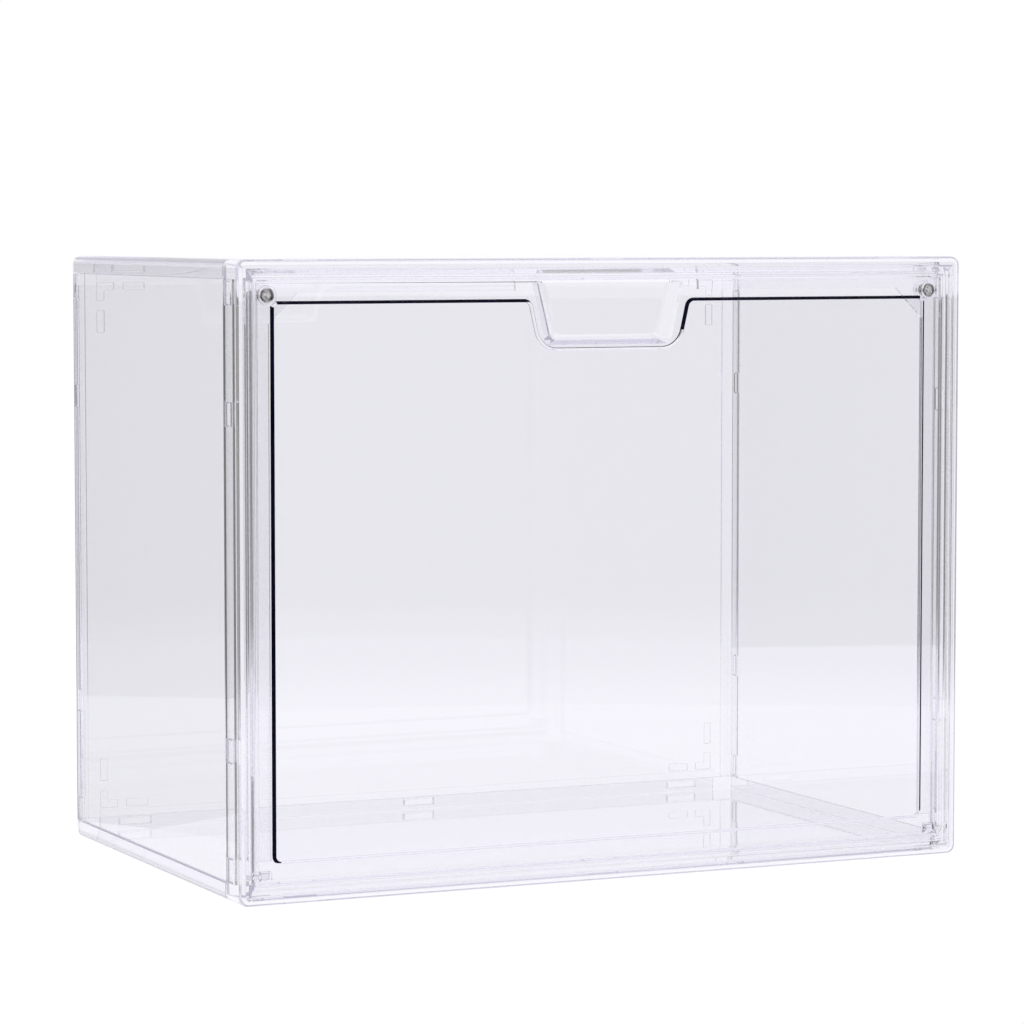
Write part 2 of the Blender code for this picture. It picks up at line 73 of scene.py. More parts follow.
# Roundings, clearances and overlaps
EDGE_RADIUS = 4 * MM
ARC_STEPS = 10  # facets in an arc of a large radius
FILLET_STEPS = 4  # facets in an arc of a small one
LARGE_RADIUS = 1 * MM  # above this a section's corner counts as large
ROUND_SIDES = 64
FILLET = 0.25 * MM
GAP = 0.3 * MM  # between parts that snap together
PAST = 1 * MM  # how far a cut or a joined shape runs past a face
BITE = 0.1 * MM  # overlap of shapes that are joined

# Finish of every mesh
MERGE = 0.002 * MM
FLAT_ANGLE = math.radians(0.5)  # faces that bend less than this become one
BEVEL = 0.14 * MM
BEVEL_STEPS = 2
BEVEL_ANGLE = math.radians(26)  # edges sharper than this are bevelled
SMOOTH_ANGLE = math.radians(50)  # edges sharper than this stay sharp in the shading

# Walls of the panels. A pair is the insets of a wall's outer and inner face.
SKIRT = 1.8 * MM
TONGUE_OUT = SKIRT + GAP
TONGUE_IN = TONGUE_OUT + 1.5 * MM
RAIL = 8 * MM
PLATE = 2.4 * MM
SIDE_FACE = (0.8 * MM, 3.2 * MM)
BACK_FACE = (1.0 * MM, 3.2 * MM)
TONGUE_HALF = 160 * MM
TONGUE_REACH = 4 * MM
TONGUE_ROOT = 3 * MM

# Front frame. Its section's corners are (inset, depth, radius) in millimetres, in order from the outer
# rear edge of its skirt. STOP is the front and rear depth of the lips that the door shuts against.
FRAME_DEPTH = 19 * MM
LIP = 9.5 * MM
FRAME_SECTION = (
    (0, 19, 0.3), (0, 0, 4), (4.5, 0, 0.25), (4.5, 1.4, 0.2), (6.6, 1.4, 0.25), (6.6, 2.8, 0.2),
    (8.6, 2.8, 0.25), (9.5, 4.3, 0.3), (9.5, 10.7, 0.25), (7.7, 10.7, 0.25), (7.7, 4.8, 0.2),
    (6.9, 4.8, 0.2), (4.7, 3.4, 0.2), (3.9, 2.2, 0.2), (2.8, 2.2, 0.2), (1.8, 3.6, 0.2),
    (1.8, 19, 0.25),
)
INNER_CORNER = 0.5 * MM
STOP = (8.5 * MM, 10.3 * MM)
STOP_SIDE = 16.3 * MM
STOP_TOP = 14 * MM
STOP_FOOT = 18 * MM
STOP_BREAK = 44 * MM
GUSSET = 43.5 * MM  # sum of the insets from the side and the top, along a corner's slant

# Snap hooks and their windows. A front pair is depths; a rear pair is insets from the back.
HOOKS_X = (-142.5 * MM, 0.0, 142.5 * MM)
HOOKS_Z = (14 * MM, 64.5 * MM, 205.5 * MM, 256 * MM)
HOOK_X_HALF = 7.5 * MM
HOOK_Z_HALF = 4.7 * MM
WINDOW_MARGIN = 0.5 * MM
HOOK_TIP = 0.6 * MM
FRONT_WINDOW = (10.5 * MM, 17.3 * MM)
FRONT_HOOK = (11.0 * MM, 16.8 * MM)
FRONT_TONGUE = 9.8 * MM
REAR_WINDOW = (3.9 * MM, 7.6 * MM)
REAR_HOOK = (4.4 * MM, 7.1 * MM)

# Door. FLANGE and FIELD are the depths of their front and rear faces.
DOOR_SIDE = 10 * MM
DOOR_FOOT = 10 * MM
DOOR_CORNER = 1.5 * MM
FLANGE = (5.9 * MM, 8.2 * MM)
FIELD = (4.7 * MM, 7.0 * MM)
FIELD_SIDE = 16.2 * MM
FIELD_FOOT = 16.7 * MM
FIELD_TOP = 252.3 * MM
FIELD_CORNER = 3.5 * MM
FIELD_ROUND = 1.15 * MM
FIELD_TOE = 0.2 * MM
FIELD_WALL = 1.0 * MM
SCALLOP = 4.8 * MM  # radius of the field's cut round a magnet
FLANGE_ROUND = 0.3 * MM

# Finger pull: a notch in the field and a dish inside it, each (half width at the field's top, half width
# at its own foot, height of that foot, radius of its corners)
NOTCH = (37.4 * MM, 32.7 * MM, 231.3 * MM, 9.5 * MM)
NOTCH_SHOULDER = 4 * MM
DISH_MOUTH = (32.3 * MM, 27.9 * MM, 234.8 * MM, 3.2 * MM)
DISH_FLOOR = (27.5 * MM, 23.4 * MM, 236.8 * MM, 2.0 * MM)
DISH_DEPTH = (9.2 * MM, 11.2 * MM)  # front and rear face of its floor
DISH_WALL = 2.2 * MM
DISH_SETBACK = 0.8 * MM

# Painted shade: the dark line on the step of the field, which stands for the dark the step shows by
# refraction
EDGE_SKIN = 0.001 * MM
CORNER_FROM = 0.6 * MM  # height above the field's foot where the painted shade of its left corner starts
SLOPE_FROM = 8 * MM  # height above the notch's foot where its right slope gets painted shade all over
THIN_FROM = 5.45 * MM  # depth from which the rest of the notch's step gets painted shade

# Hinge and magnets. PIN is the insets of a pin's ends, and a magnet's pair is the depths of its faces.
AXIS_DEPTH = 5.5 * MM
AXIS_HEIGHT = 12 * MM
PIN_RADIUS = 1.0 * MM
PIN_PLAY = 0.08 * MM
PIN = (5 * MM, 14 * MM)
KNUCKLE_RADIUS = 2.2 * MM
KNUCKLE_END = 15 * MM
MAGNET_SIDE = 14.3 * MM
MAGNET_HEIGHT = 255 * MM
MAGNET_RADIUS = 3 * MM
BOSS_RADIUS = 4.1 * MM
DOOR_BOSS_FRONT = 4.3 * MM
DOOR_MAGNET = (5.4 * MM, 7.4 * MM)
FRAME_BOSS_BACK = 13.2 * MM
FRAME_MAGNET = (10.5 * MM, 12.5 * MM)
RIM_ROUND = 0.3 * MM
DISC_DISH = 0.25 * MM
DISC_HOLLOW = (  # (radius, depth) of a disc's end, from its middle to its rim
    (0.6 * MM, DISC_DISH), (1.9 * MM, DISC_DISH), (2.15 * MM, DISC_DISH * 0.6), (2.3 * MM, 0.04 * MM),
)

# Raised marks on the back panel
MARK_SIDE = 13.8 * MM
MARK_END = 12.6 * MM
MARK_ARM = 8.3 * MM
MARK_SPACE = 4.5 * MM
MARK_DASH = 10.3 * MM
MARK_STROKE = 3.5 * MM
MARK_ROUND = 0.5 * MM
MARK_TOP = 0.2 * MM

# Plastic. In its depth, per metre, it absorbs light of the colours that TINT lacks and gives back a
# little stray light, which stands for scattering.
PLASTIC = (0.977, 0.975, 0.986, 1.0)
PLASTIC_IOR = 1.56
TINT = (0.40, 0.38, 0.60, 1.0)
DENSITY = 25.0
STRAY = (6.9, 6.9, 5.6, 1.0)
DOOR_SHIFT = 3.1  # moves the door's pattern of waves and haze away from the case's

# Painted shade on the door's step: a near-black navy and a painted navy sheen
PAINTED_SHADE_NAVY = (0.0012, 0.0012, 0.008, 1)
PAINTED_SHEEN_NAVY = (0.003, 0.0028, 0.018, 1)

# Nickel. The ring of painted shade near the rim: its radius and half width are shares of the disc's
# radius.
NICKEL_WARM = (0.95, 0.91, 0.86, 1)
NICKEL_COOL = (0.34, 0.34, 0.36, 1)
RING_SHADE_COLOUR = (0.006, 0.006, 0.008, 1)
SHADE_RING_RADIUS = 0.80
SHADE_RING_WAVER = 0.07
SHADE_RING_FADE = (0.10, 0.17)

# Table and surroundings
WHITE = (1.003, 1.0, 1.03, 1)
TABLE_SIZE = 30
TABLE_DROP = 0.2 * MM
TABLE_GLOW = (1.01, 1.0)  # near the box and far from it
TABLE_FADE = (0.35, 1.3)  # distances from the box's middle between which it changes
WORLD_GLOW = 1.01

# Cards that stand on the table and grey mats in front of them, for the panels to reflect
GREY_BLUE = 1.03  # share of blue in every grey
CARD_RADIUS = 0.72
CARD_FADE = 32 * MM  # height over which a card goes from the grey of its foot to its own
FRONT_SPAN = (62, 298)  # degrees from +Y towards +X
FRONT_HEIGHT = 0.242
FRONT_GREYS = (0.68, 0.21)  # the foot's and its own
FRONT_MAT = 0.85
SIDE_SPAN = (298, 352)
SIDE_HEIGHT = 0.3
SIDE_GREYS = (0.5, 0.46)
SIDE_MAT = 0.5
MAT_START = 0.24

CAMERA_PLACE = (-0.7546, -1.6347, 0.2852)
CAMERA_TILT = 85.808  # degrees up from straight down
CAMERA_TURN = -24.808  # degrees from +Y towards -X
CAMERA_LENS = 139.0
CAMERA_SENSOR = 36
CAMERA_END = 50

BOUNCES = 40  # a ray passes many walls of clear plastic
CLEAR_BOUNCES = 8


# ---------------------------------------------------------------- materials

class Nodes:
    """Adds nodes to a node tree and links them, one call per node."""

    def __init__(self, owner):
        owner.use_nodes = True
        self.tree = owner.node_tree
        self.tree.nodes.clear()

    def add(self, kind, inputs=None, **settings):
        node = self.tree.nodes.new(kind)
        for key, value in settings.items():
            setattr(node, key, value)
        for key, value in (inputs or {}).items():
            if isinstance(value, bpy.types.NodeSocket):
                self.tree.links.new(value, node.inputs[key])
            else:
                node.inputs[key].default_value = value
        return node

    def noise(self, coords, scale, detail=2.0, roughness=0.5):
        inputs = {"Vector": coords, "Scale": scale, "Detail": detail, "Roughness": roughness}
        return self.add("ShaderNodeTexNoise", inputs).outputs["Fac"]

    def spread(self, value, source, target, kind="LINEAR"):
        """Carries the range source over to the range target, and holds at both ends."""
        inputs = {
            "Value": value, "From Min": source[0], "From Max": source[1],
            "To Min": target[0], "To Max": target[1],
        }
        node = self.add("ShaderNodeMapRange", inputs, interpolation_type=kind)
        return node.outputs["Result"]

    def maths(self, operation, first, second=0.0):
        return self.add("ShaderNodeMath", {0: first, 1: second}, operation=operation).outputs[0]

    def vector(self, operation, first, second):
        inputs = {0: first, 1: second}
        return self.add("ShaderNodeVectorMath", inputs, operation=operation).outputs[0]

    def length(self, vector):
        return self.add("ShaderNodeVectorMath", {0: vector}, operation="LENGTH").outputs["Value"]

    def blend(self, factor, first, second):
        """Mixes two colours, whose sockets on the node are 6 and 7, with the result in 2."""
        inputs = {"Factor": factor, 6: first, 7: second}
        return self.add("ShaderNodeMix", inputs, data_type="RGBA").outputs[2]

    def glow(self, colour, strength=1.0):
        """Ends the tree with plain light."""
        shader = self.add("ShaderNodeEmission", {"Color": colour, "Strength": strength})
        self.add("ShaderNodeOutputMaterial", {"Surface": shader.outputs[0]})


def clear_plastic(name, shift):
    """Moulded clear plastic: slow flow waves, hairline scratches, faint haze, lilac in its depth."""
    material = bpy.data.materials.new(name)
    n = Nodes(material)
    place = n.add("ShaderNodeTexCoord").outputs["Object"]
    coords = n.vector("ADD", place, (shift, shift * 0.7, shift * 1.3))

    waves = n.noise(coords, scale=14.0, detail=1.0, roughness=0.4)
    stretched = n.add("ShaderNodeMapping", {"Vector": coords, "Scale": (1.0, 1.0, 9.0)})
    hairs = n.noise(stretched.outputs[0], scale=700.0, detail=3.0, roughness=0.6)
    scratch = n.spread(hairs, (0.70, 0.78), (0.0, 1.0))
    haze = n.noise(coords, scale=22.0, detail=4.0, roughness=0.6)

    rough = n.spread(haze, (0.35, 0.75), (0.004, 0.022))
    rough = n.maths("ADD", rough, n.maths("MULTIPLY", scratch, 0.05))
    slow = n.add("ShaderNodeBump", {"Strength": 0.05, "Distance": 0.6 * MM, "Height": waves})
    fine = n.add(
        "ShaderNodeBump",
        {"Strength": 0.05, "Distance": 0.01 * MM, "Height": scratch, "Normal": slow.outputs[0]},
    )
    shader = n.add(
        "ShaderNodeBsdfPrincipled",
        {
            "Base Color": PLASTIC,
            "Roughness": rough,
            "IOR": PLASTIC_IOR,
            "Transmission Weight": 1.0,
            "Normal": fine.outputs[0],
        },
    )
    taken = n.add("ShaderNodeVolumeAbsorption", {"Color": TINT, "Density": DENSITY})
    given = n.add("ShaderNodeEmission", {"Color": STRAY, "Strength": 1.0})
    depth = n.add("ShaderNodeAddShader", {0: taken.outputs[0], 1: given.outputs[0]})
    n.add(
        "ShaderNodeOutputMaterial",
        {"Surface": shader.outputs[0], "Volume": depth.outputs[0]},
    )
    return material


def painted_shade_edge(name):
    """Painted shade on the step round the door's field, in place of the dark it shows where light is
    trapped: almost black, with a painted navy sheen.
    """
    material = bpy.data.materials.new(name)
    n = Nodes(material)
    place = n.add("ShaderNodeTexCoord").outputs["Object"]
    # painted sheen: noise mixes the near-black navy with a slightly lighter one
    depth = n.spread(n.noise(place, scale=60.0, detail=3.0), (0.35, 0.65), (0.0, 1.0))
    colour = n.blend(depth, PAINTED_SHADE_NAVY, PAINTED_SHEEN_NAVY)
    shader = n.add(
        "ShaderNodeBsdfPrincipled",
        {
            "Base Color": colour,
            "Roughness": n.spread(n.noise(place, scale=900.0), (0.3, 0.7), (0.12, 0.22)),
            "Specular IOR Level": 0.05,
        },
    )
    n.add("ShaderNodeOutputMaterial", {"Surface": shader.outputs[0]})
    return material


def nickel(name):
    """Nickel plate on a pressed disc: fine grain, warm and cool patches, and a ring of painted shade
    near the rim, darkest at its left and right.
    """
    material = bpy.data.materials.new(name)
    n = Nodes(material)
    coords = n.add("ShaderNodeTexCoord")
    place = coords.outputs["Object"]
    patches = n.noise(place, scale=700.0, detail=3.0)
    grain = n.noise(place, scale=5200.0, detail=2.0)

    # painted shade: a dark ring near the rim that wavers with noise, stronger towards the left and right
    centred = n.vector("ADD", coords.outputs["Generated"], (-0.5, -0.5, -0.5))
    flat = n.vector("MULTIPLY", centred, (2.0, 0.0, 2.0))
    radius = n.length(flat)
    waver = (-SHADE_RING_WAVER, SHADE_RING_WAVER)
    uneven = n.spread(n.noise(place, scale=900.0, detail=2.0), (0.3, 0.7), waver)
    offset = n.maths("SUBTRACT", n.maths("ADD", radius, uneven), SHADE_RING_RADIUS)
    shade_ring = n.spread(n.maths("ABSOLUTE", offset), SHADE_RING_FADE, (1.0, 0.0))
    across = n.maths("ABSOLUTE", n.add("ShaderNodeSeparateXYZ", {0: flat}).outputs["X"])
    sides = n.spread(across, (0.30, 0.55), (0.45, 1.0))

    metal = n.blend(n.spread(patches, (0.38, 0.62), (0.0, 1.0)), NICKEL_WARM, NICKEL_COOL)
    colour = n.blend(n.maths("MULTIPLY", shade_ring, sides), metal, RING_SHADE_COLOUR)
    bump = n.add("ShaderNodeBump", {"Strength": 0.25, "Distance": 0.02 * MM, "Height": grain})
    shader = n.add(
        "ShaderNodeBsdfPrincipled",
        {
            "Base Color": colour,
            "Metallic": 1.0,
            "Roughness": n.spread(grain, (0.3, 0.7), (0.10, 0.30)),
            "Normal": bump.outputs[0],
        },
    )
    n.add("ShaderNodeOutputMaterial", {"Surface": shader.outputs[0]})
    return material


# ---------------------------------------------------------------- mesh helpers

def mesh_object(name, bm):
    bmesh.ops.recalc_face_normals(bm, faces=bm.faces)
    mesh = bpy.data.meshes.new(name)
    bm.to_mesh(mesh)
    bm.free()
    obj = bpy.data.objects.new(name, mesh)
    bpy.context.scene.collection.objects.link(obj)
    return obj


def baked(obj, drop=()):
    """Replaces the object's mesh by what its modifiers make of it, and deletes the shapes they used."""
    graph = bpy.context.evaluated_depsgraph_get()
    mesh = bpy.data.meshes.new_from_object(obj.evaluated_get(graph))
    obj.modifiers.clear()
    obj.data = mesh
    for tool in drop:
        bpy.data.objects.remove(tool, do_unlink=True)


def apply_tools(obj, steps):
    """Joins (U) or cuts away (D) the shape of each (letter, bm) step, in their order."""
    tools = []
    for i, (letter, bm) in enumerate(steps):
        tool = mesh_object(f"{obj.name}_tool_{i}", bm)
        modifier = obj.modifiers.new(str(i), "BOOLEAN")
        modifier.operation = "UNION" if letter == "U" else "DIFFERENCE"
        modifier.solver = "EXACT"
        modifier.object = tool
        tools.append(tool)
    baked(obj, tools)


def finish_piece(obj, material, body, node, bevel=BEVEL):
    """Rounds the sharp edges, smooths, and puts the piece on its body in place of its CAD node, which it
    hides.
    """
    bm = bmesh.new()
    bm.from_mesh(obj.data)
    bmesh.ops.remove_doubles(bm, verts=bm.verts, dist=MERGE)
    bmesh.ops.dissolve_limit(
        bm, angle_limit=FLAT_ANGLE, verts=bm.verts, edges=bm.edges, use_dissolve_boundaries=False
    )
    bm.to_mesh(obj.data)
    bm.free()
    if bevel:
        modifier = obj.modifiers.new("edges", "BEVEL")
        modifier.width = bevel
        modifier.segments = BEVEL_STEPS
        modifier.limit_method = "ANGLE"
        modifier.angle_limit = BEVEL_ANGLE
        modifier.use_clamp_overlap = False
        baked(obj)
    obj.data.shade_smooth()
    obj.data.set_sharp_from_angle(angle=SMOOTH_ANGLE)
    weighted = obj.modifiers.new("normals", "WEIGHTED_NORMAL")
    weighted.keep_sharp = True
    obj.data.materials.clear()
    obj.data.materials.append(material)
    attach(obj, body)
    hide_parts(node)


def bridge(bm, first, second):
    """Joins two closed rings of the same number of vertices."""
    for i in range(len(first)):
        k = (i + 1) % len(first)
        bm.faces.new((first[i], first[k], second[k], second[i]))


def add_prism(bm, near, far):
    """A closed body between two outlines with as many points."""
    first = [bm.verts.new(point) for point in near]
    second = [bm.verts.new(point) for point in far]
    bm.faces.new(first)
    bm.faces.new(list(reversed(second)))
    bridge(bm, first, second)


def add_box(bm, low, high):
    """A box between two opposite corners, in either order along each axis."""
    (x0, x1), (y0, y1), (z0, z1) = (sorted(pair) for pair in zip(low, high))
    add_prism(
        bm,
        [(x0, y0, z0), (x1, y0, z0), (x1, y0, z1), (x0, y0, z1)],
        [(x0, y1, z0), (x1, y1, z0), (x1, y1, z1), (x0, y1, z1)],
    )


def boxes(*corner_pairs):
    """A new shape of one box for each pair of opposite corners."""
    bm = bmesh.new()
    for low, high in corner_pairs:
        add_box(bm, low, high)
    return bm


def rounded_block(low, high, is_round):
    """A box whose edges are rounded where is_round(middle of the edge)."""
    bm = boxes((low, high))
    edges = [e for e in bm.edges if is_round((e.verts[0].co + e.verts[1].co) / 2)]
    bmesh.ops.recalc_face_normals(bm, faces=bm.faces)
    bmesh.ops.bevel(
        bm, geom=edges, offset=EDGE_RADIUS, segments=ARC_STEPS, profile=0.5, affect="EDGES"
    )
    return bm


def add_cylinder(bm, start, direction, radius, length):
    direction = Vector(direction)
    matrix = direction.to_track_quat("Z", "Y").to_matrix().to_4x4()
    matrix.translation = Vector(start) + direction * length / 2
    bmesh.ops.create_cone(
        bm, cap_ends=True, segments=ROUND_SIDES, radius1=radius, radius2=radius,
        depth=length, matrix=matrix,
    )


# ---------------------------------------------------------------- outlines

def corner_arc(before, corner, after, radius, steps):
    """Points of the arc that rounds a corner between its two neighbours."""
    here = Vector(corner)
    back = (Vector(before) - here).normalized()
    ahead = (Vector(after) - here).normalized()
    half = back.angle(ahead) / 2
    centre = here + (back + ahead).normalized() * radius / math.sin(half)
    start = here + back * radius / math.tan(half) - centre
    end = here + ahead * radius / math.tan(half) - centre
    sweep = math.atan2(start.x * end.y - start.y * end.x, start.dot(end))
    points = []
    for k in range(steps + 1):
        turn = sweep * k / steps
        c, s = math.cos(turn), math.sin(turn)
        points.append((centre.x + start.x * c - start.y * s, centre.y + start.x * s + start.y * c))
    return points


def rounded_polygon(corners, unit=1.0, steps=None):
    """A closed outline through (x, z, radius) corners. A radius of 0 keeps the point."""
    points = []
    for i, (x, z, radius) in enumerate(corners):
        x, z, radius = x * unit, z * unit, radius * unit
        if radius:
            before = [value * unit for value in corners[i - 1][:2]]
            after = [value * unit for value in corners[(i + 1) % len(corners)][:2]]
            count = steps or (ARC_STEPS if radius > LARGE_RADIUS else FILLET_STEPS)
            points += corner_arc(before, (x, z), after, radius, count)
        else:
            points.append((x, z))
    return points


def mirrored(right):
    """Corners of a whole outline from those of its right half."""
    return right + [(-x, z, radius) for x, z, radius in reversed(right)]


def rectangle(inset, radius):
    """The box's front outline, moved inwards."""
    x, low, high = HALF - inset, inset, HEIGHT - inset
    corners = mirrored([(x, low, radius), (x, high, radius)])
    return rounded_polygon(corners, steps=ARC_STEPS)


def shrunk(outline, distance):
    """The outline moved inwards, with as many points."""
    points = [Vector(point) for point in outline]
    result = []
    for i, here in enumerate(points):
        back = (here - points[i - 1]).normalized()
        ahead = (points[(i + 1) % len(points)] - here).normalized()
        normal = Vector((-back.y - ahead.y, back.x + ahead.x)).normalized()
        side = Vector((-back.y, back.x))
        moved = here + normal * distance / normal.dot(side)
        result.append((moved.x, moved.y))
    return result


def door_outline(inset):
    x = HALF - DOOR_SIDE - inset
    low, high = DOOR_FOOT + inset, HEIGHT - DOOR_SIDE - inset
    radius = DOOR_CORNER - inset
    return rounded_polygon(mirrored([(x, low, radius), (x, high, radius)]), steps=ARC_STEPS)


def field_outline(inset):
    """Foot of the door's raised field, cut away round the magnets and the finger pull."""
    side = HALF - FIELD_SIDE
    top, foot, height, radius = NOTCH
    right = [(side, FIELD_FOOT, 0), (side, FIELD_TOP, 0), (top, FIELD_TOP, 0), (foot, height, 0)]
    moved = shrunk(rounded_polygon(mirrored(right)), inset)
    corner, (side, high), shoulder, heel = moved[:4]

    magnet_x = HALF - MAGNET_SIDE
    reach = SCALLOP + inset
    first = math.pi + math.acos((magnet_x - side) / reach)
    last = math.pi + math.asin((MAGNET_HEIGHT - high) / reach)
    scallop = []
    for k in range(ARC_STEPS + 1):
        turn = first + (last - first) * k / ARC_STEPS
        x = magnet_x + reach * math.cos(turn)
        scallop.append((x, MAGNET_HEIGHT + reach * math.sin(turn), 0))
    right = [(*corner, FIELD_CORNER - inset)] + scallop
    right += [(*shoulder, NOTCH_SHOULDER - inset), (*heel, radius + inset)]
    return rounded_polygon(mirrored(right), steps=ARC_STEPS)


def dish_outline(shape, top, margin=0.0):
    """Outline of the dish up to the height top, with a margin round its sides and foot."""
    half_top, half_foot, low, radius = shape
    slope = (half_top - half_foot) / (FIELD_TOP - low)
    half_end = half_foot + slope * (top - low)
    corners = [(half_foot + margin, low - margin, radius), (half_end + margin, top, 0)]
    return rounded_polygon(mirrored(corners), steps=ARC_STEPS)


def add_loops(bm, loops):
    """Rings of vertices through (outline, depth) loops, joined in turn."""
    rings = [[bm.verts.new((x, FRONT + depth, z)) for x, z in line] for line, depth in loops]
    for first, second in zip(rings, rings[1:]):
        bridge(bm, first, second)
    return rings


def fill_between(bm, *rings):
    """Fills a ring, or the space between two."""
    edges = []
    for ring in rings:
        for i in range(len(ring)):
            pair = (ring[i], ring[(i + 1) % len(ring)])
            edges.append(bm.edges.get(pair) or bm.edges.new(pair))
    bmesh.ops.triangle_fill(bm, edges=edges, use_beauty=True)


def add_loft(bm, loops):
    """A closed body through (outline, depth) loops."""
    rings = add_loops(bm, loops)
    bm.faces.new(rings[0])
    bm.faces.new(list(reversed(rings[-1])))


def arc_loops(outline_at, centre, radius, first, last, steps=FILLET_STEPS):
    """Loops along an arc of the section. Angle 0 points to a larger inset, 90 to a larger depth."""
    loops = []
    for k in range(steps + 1):
        turn = math.radians(first + (last - first) * k / steps)
        inset = centre[0] + radius * math.cos(turn)
        loops.append((outline_at(inset), centre[1] + radius * math.sin(turn)))
    return loops


# ---------------------------------------------------------------- front frame

def frame_ring():
    loops = []
    for inset, depth in rounded_polygon(FRAME_SECTION, MM):
        loops.append((rectangle(inset, max(EDGE_RADIUS - inset, INNER_CORNER)), depth))
    bm = bmesh.new()
    rings = add_loops(bm, loops)
    bridge(bm, rings[-1], rings[0])
    return bm


def frame_stops():
    """Each side's lip, with its slanted corner and its half of the upper lip, as one bar."""
    root = LIP - PAST
    outline = [
        (HALF - root, STOP_FOOT), (HALF - STOP_SIDE, STOP_FOOT),
        (HALF - STOP_SIDE, HEIGHT - GUSSET + STOP_SIDE), (HALF - GUSSET + STOP_TOP, HEIGHT - STOP_TOP),
        (STOP_BREAK, HEIGHT - STOP_TOP), (STOP_BREAK, HEIGHT - root), (HALF - root, HEIGHT - root),
    ]
    near, far = FRONT + STOP[0], FRONT + STOP[1]
    bm = bmesh.new()
    for side in (-1, 1):
        near_line = [(side * x, near, z) for x, z in outline]
        add_prism(bm, near_line, [(side * x, far, z) for x, z in outline])
    return bm


def corner_cylinders(magnet, hinge=None):
    """Cylinders at the magnets (near depth, far depth, radius) and the hinge (insets, radius)."""
    bm = bmesh.new()
    for side in (-1, 1):
        near, far, radius = magnet
        start = (side * (HALF - MAGNET_SIDE), FRONT + near, MAGNET_HEIGHT)
        add_cylinder(bm, start, (0, 1, 0), radius, far - near)
        if hinge:
            outer, inner, radius = hinge
            start = (side * (HALF - inner), FRONT + AXIS_DEPTH, AXIS_HEIGHT)
            add_cylinder(bm, start, (side, 0, 0), radius, inner - outer)
    return bm


def frame_windows():
    near, far = (FRONT + depth for depth in FRONT_WINDOW)
    half_x = HOOK_X_HALF + WINDOW_MARGIN
    half_z = HOOK_Z_HALF + WINDOW_MARGIN
    deep = SKIRT + GAP
    bm = bmesh.new()
    for x in HOOKS_X:
        for low, high in ((-PAST, deep), (HEIGHT - deep, HEIGHT + PAST)):
            add_box(bm, (x - half_x, near, low), (x + half_x, far, high))
    for z in HOOKS_Z:
        for side in (-1, 1):
            inner, outer = side * (HALF - deep), side * (HALF + PAST)
            add_box(bm, (inner, near, z - half_z), (outer, far, z + half_z))
    return bm


def make_front_frame(plastic):
    obj = mesh_object("clear_front_frame", frame_ring())
    bosses = corner_cylinders((sum(STOP) / 2, FRAME_BOSS_BACK, BOSS_RADIUS))
    pockets = (FRAME_MAGNET[0] - GAP, FRAME_BOSS_BACK + PAST, MAGNET_RADIUS + GAP)
    sockets = (PIN[0] + PAST, LIP + PAST, PIN_RADIUS + PIN_PLAY)
    steps = [
        ("U", frame_stops()), ("U", bosses), ("D", corner_cylinders(pockets, sockets)),
        ("D", frame_windows()),
    ]
    apply_tools(obj, steps)
    finish_piece(obj, plastic, "case", "front_frame")


# ---------------------------------------------------------------- panels

def make_tray(name, node, plastic, is_top):
    """The top or the bottom panel: a plate with a skirt at the back and sides, open to the front."""
    def at(inset):
        return HEIGHT - inset if is_top else inset

    def is_round(middle):
        outer = abs(middle.z - at(0)) < GAP
        side = abs(abs(middle.x) - HALF) < GAP
        back = abs(middle.y - BACK) < GAP
        return outer + side + back == 2

    front = FRONT + FRAME_DEPTH + GAP
    obj = mesh_object(name, rounded_block((-HALF, front, at(0)), (HALF, BACK, at(RAIL)), is_round))
    inner = HALF - SKIRT
    hollow = boxes(((-inner, front - PAST, at(PLATE)), (inner, BACK - SKIRT, at(RAIL + PAST))))
    near, far = FRONT + FRONT_TONGUE, front + TONGUE_ROOT
    tongue = boxes(((-TONGUE_HALF, near, at(TONGUE_OUT)), (TONGUE_HALF, far, at(TONGUE_IN))))
    hooks, windows = bmesh.new(), bmesh.new()
    wide = HOOK_X_HALF + WINDOW_MARGIN
    for x in HOOKS_X:
        near, far = (FRONT + depth for depth in FRONT_HOOK)
        low_corner = (x - HOOK_X_HALF, near, at(HOOK_TIP))
        add_box(hooks, low_corner, (x + HOOK_X_HALF, far, at(TONGUE_IN - BITE)))
        low, high = (at(inset) for inset in REAR_WINDOW)
        add_box(windows, (x - wide, BACK - SKIRT - GAP, low), (x + wide, BACK + PAST, high))
    apply_tools(obj, [("D", hollow), ("U", tongue), ("U", hooks), ("D", windows)])
    finish_piece(obj, plastic, "case", node)


def mark_outlines():
    """An L and its two dashes, as (inset from the side, distance from the end) points."""
    u0, v0 = MARK_SIDE, MARK_END
    u1, v1 = u0 + MARK_STROKE, v0 + MARK_STROKE
    u2, v2 = u0 + MARK_ARM, v0 + MARK_ARM
    u3, v3 = u2 + MARK_SPACE, v2 + MARK_SPACE
    return (
        ((u0, v0), (u2, v0), (u2, v1), (u1, v1), (u1, v2), (u0, v2)),
        ((u3, v0), (u3 + MARK_DASH, v0), (u3 + MARK_DASH, v1), (u3, v1)),
        ((u0, v3), (u1, v3), (u1, v3 + MARK_DASH), (u0, v3 + MARK_DASH)),
    )


def back_marks():
    near, far = BACK - BACK_FACE[0] - GAP, BACK - MARK_TOP
    bm = bmesh.new()
    for outline in mark_outlines():
        line = rounded_polygon([(u, v, MARK_ROUND) for u, v in outline], steps=FILLET_STEPS)
        for side in (-1, 1):
            for is_top in (False, True):
                points = [(side * (HALF - u), HEIGHT - v if is_top else v) for u, v in line]
                add_prism(bm, [(x, near, z) for x, z in points], [(x, far, z) for x, z in points])
    return bm


